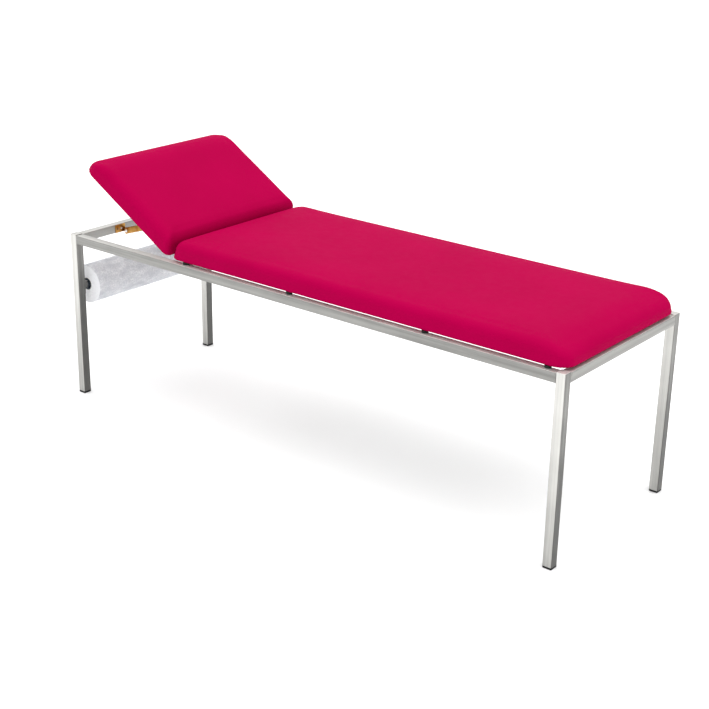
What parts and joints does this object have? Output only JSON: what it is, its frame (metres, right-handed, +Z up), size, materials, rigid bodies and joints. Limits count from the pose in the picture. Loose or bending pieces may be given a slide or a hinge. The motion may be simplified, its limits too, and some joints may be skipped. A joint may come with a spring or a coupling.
{
  "type": "examination couch",
  "caption": "Flat couch on a square-tube steel frame with a padded body section, a tilting padded head section on ratchet struts, and a paper roll under the head end.",
  "frame": {"origin": "on the floor, midway across and midway along the overall length, which runs from the paper roll at the head end to the foot end legs", "axes": "+X towards the foot end, +Y across to the side away from the open end of the paper roll, +Z up"},
  "size_m": [2.0019, 0.65, 0.8658],
  "materials": {
    "frame_steel": "satin brushed square tube",
    "foot_plastic": "black moulded plastic",
    "leatherette": "smooth raspberry leatherette",
    "foam": "cut polyurethane foam",
    "plywood": "sanded birch plywood",
    "underside_cloth": "pale grey non-woven cloth",
    "buffer_rubber": "black rubber",
    "zinc_steel": "bright zinc-plated steel",
    "strut_zinc": "bright zinc-plated steel",
    "strut_gold": "yellow-chromated pressed steel",
    "plug_plastic": "dark grey plastic",
    "cardboard": "wound pale board",
    "paper": "embossed tissue"
  },
  "bodies": {
    "frame": {"body_pad_board": "plywood", "body_pad_cover": "leatherette", "body_pad_foam": "foam", "body_pad_underside_cloth": "underside_cloth", "cross_rail": "frame_steel", "foot_end_rail": "frame_steel", "foot_left_foot": "foot_plastic", "foot_left_leg": "frame_steel", "foot_left_leg_cap": "frame_steel", "foot_right_foot": "foot_plastic", "foot_right_leg": "frame_steel", "foot_right_leg_cap": "frame_steel", "frame_screws": "zinc_steel", "head_end_rail": "frame_steel", "head_left_foot": "foot_plastic", "head_left_leg": "frame_steel", "head_left_leg_cap": "frame_steel", "head_right_foot": "foot_plastic", "head_right_leg": "frame_steel", "head_right_leg_cap": "frame_steel", "left_buffers": "buffer_rubber", "left_hinge_fixed_leaf": "zinc_steel", "left_hinge_pin": "zinc_steel", "left_roll_holder": "frame_steel", "left_side_rail": "frame_steel", "left_strut_lower_pin": "zinc_steel", "left_strut_rail_bracket": "strut_gold", "pad_bolts": "zinc_steel", "right_buffers": "buffer_rubber", "right_hinge_fixed_leaf": "zinc_steel", "right_hinge_pin": "zinc_steel", "right_roll_holder": "frame_steel", "right_side_rail": "frame_steel", "right_strut_lower_pin": "zinc_steel", "right_strut_rail_bracket": "strut_gold"},
    "head_section": {"left_hinge_moving_leaf": "zinc_steel", "left_strut_pad_bracket": "strut_gold", "right_hinge_moving_leaf": "zinc_steel", "right_strut_pad_bracket": "strut_gold", "head_pad_board": "plywood", "head_pad_foam": "foam", "head_pad_cover": "leatherette", "head_pad_underside_cloth": "underside_cloth", "head_rest_buffers": "buffer_rubber", "head_board_screws": "zinc_steel"},
    "roll_rod_body": {"roll_rod": "zinc_steel"},
    "paper": {"paper_roll": "paper", "roll_core": "cardboard", "left_roll_plug": "plug_plastic", "right_roll_plug": "plug_plastic"},
    "left_strut_outer": {"left_strut_channel": "strut_gold", "left_pawl_pin": "zinc_steel"},
    "left_strut_inner": {"left_strut_bar": "strut_zinc", "left_strut_upper_pin": "zinc_steel"},
    "left_pawl_lever": {"left_pawl": "strut_zinc"},
    "right_strut_outer": {"right_strut_channel": "strut_gold", "right_pawl_pin": "zinc_steel"},
    "right_strut_inner": {"right_strut_bar": "strut_zinc", "right_strut_upper_pin": "zinc_steel"},
    "right_pawl_lever": {"right_pawl": "strut_zinc"}
  },
  "joints": [
    {"name": "head_hinge", "type": "hinge", "parent": "frame", "child": "head_section", "pos_m": [-0.494, 0, 0.583], "axis": [0, 1, 0], "range_deg": [-31, 4]},
    {"name": "roll_lift", "type": "slide", "parent": "frame", "child": "roll_rod_body", "axis": [0, 0, 1], "range_m": [0, 0.06]},
    {"name": "roll_spin", "type": "hinge", "parent": "roll_rod_body", "child": "paper", "pos_m": [-0.934, 0, 0.393], "axis": [0, 1, 0], "continuous": true},
    {"name": "left_strut_swing", "type": "hinge", "parent": "frame", "child": "left_strut_outer", "pos_m": [-0.902, -0.107, 0.556], "axis": [0, -1, 0], "range_deg": [-16.2, 2.2]},
    {"name": "left_strut_slide", "type": "slide", "parent": "left_strut_outer", "child": "left_strut_inner", "axis": [0.95, 0, 0.3123], "range_m": [-0.0328, 0.0044]},
    {"name": "left_pawl_lift", "type": "hinge", "parent": "left_strut_outer", "child": "left_pawl_lever", "pos_m": [-0.76531, -0.107, 0.6141], "axis": [0, -1, 0], "range_deg": [0, 8], "stiffness_Nm_per_rad": 0.05, "springref_deg": -5.73},
    {"name": "right_strut_swing", "type": "hinge", "parent": "frame", "child": "right_strut_outer", "pos_m": [-0.902, 0.107, 0.556], "axis": [0, -1, 0], "range_deg": [-16.2, 2.2]},
    {"name": "right_strut_slide", "type": "slide", "parent": "right_strut_outer", "child": "right_strut_inner", "axis": [0.95, 0, 0.3123], "range_m": [-0.0328, 0.0044]},
    {"name": "right_pawl_lift", "type": "hinge", "parent": "right_strut_outer", "child": "right_pawl_lever", "pos_m": [-0.76531, 0.107, 0.6141], "axis": [0, -1, 0], "range_deg": [0, 8], "stiffness_Nm_per_rad": 0.05, "springref_deg": -5.73}
  ],
  "couplings": [
    {"joint": "left_strut_swing", "follows": "head_hinge", "ratio": 0.515},
    {"joint": "left_strut_slide", "follows": "head_hinge", "m_per_rad": 0.05975},
    {"joint": "right_strut_swing", "follows": "head_hinge", "ratio": 0.515},
    {"joint": "right_strut_slide", "follows": "head_hinge", "m_per_rad": 0.05975}
  ]
}
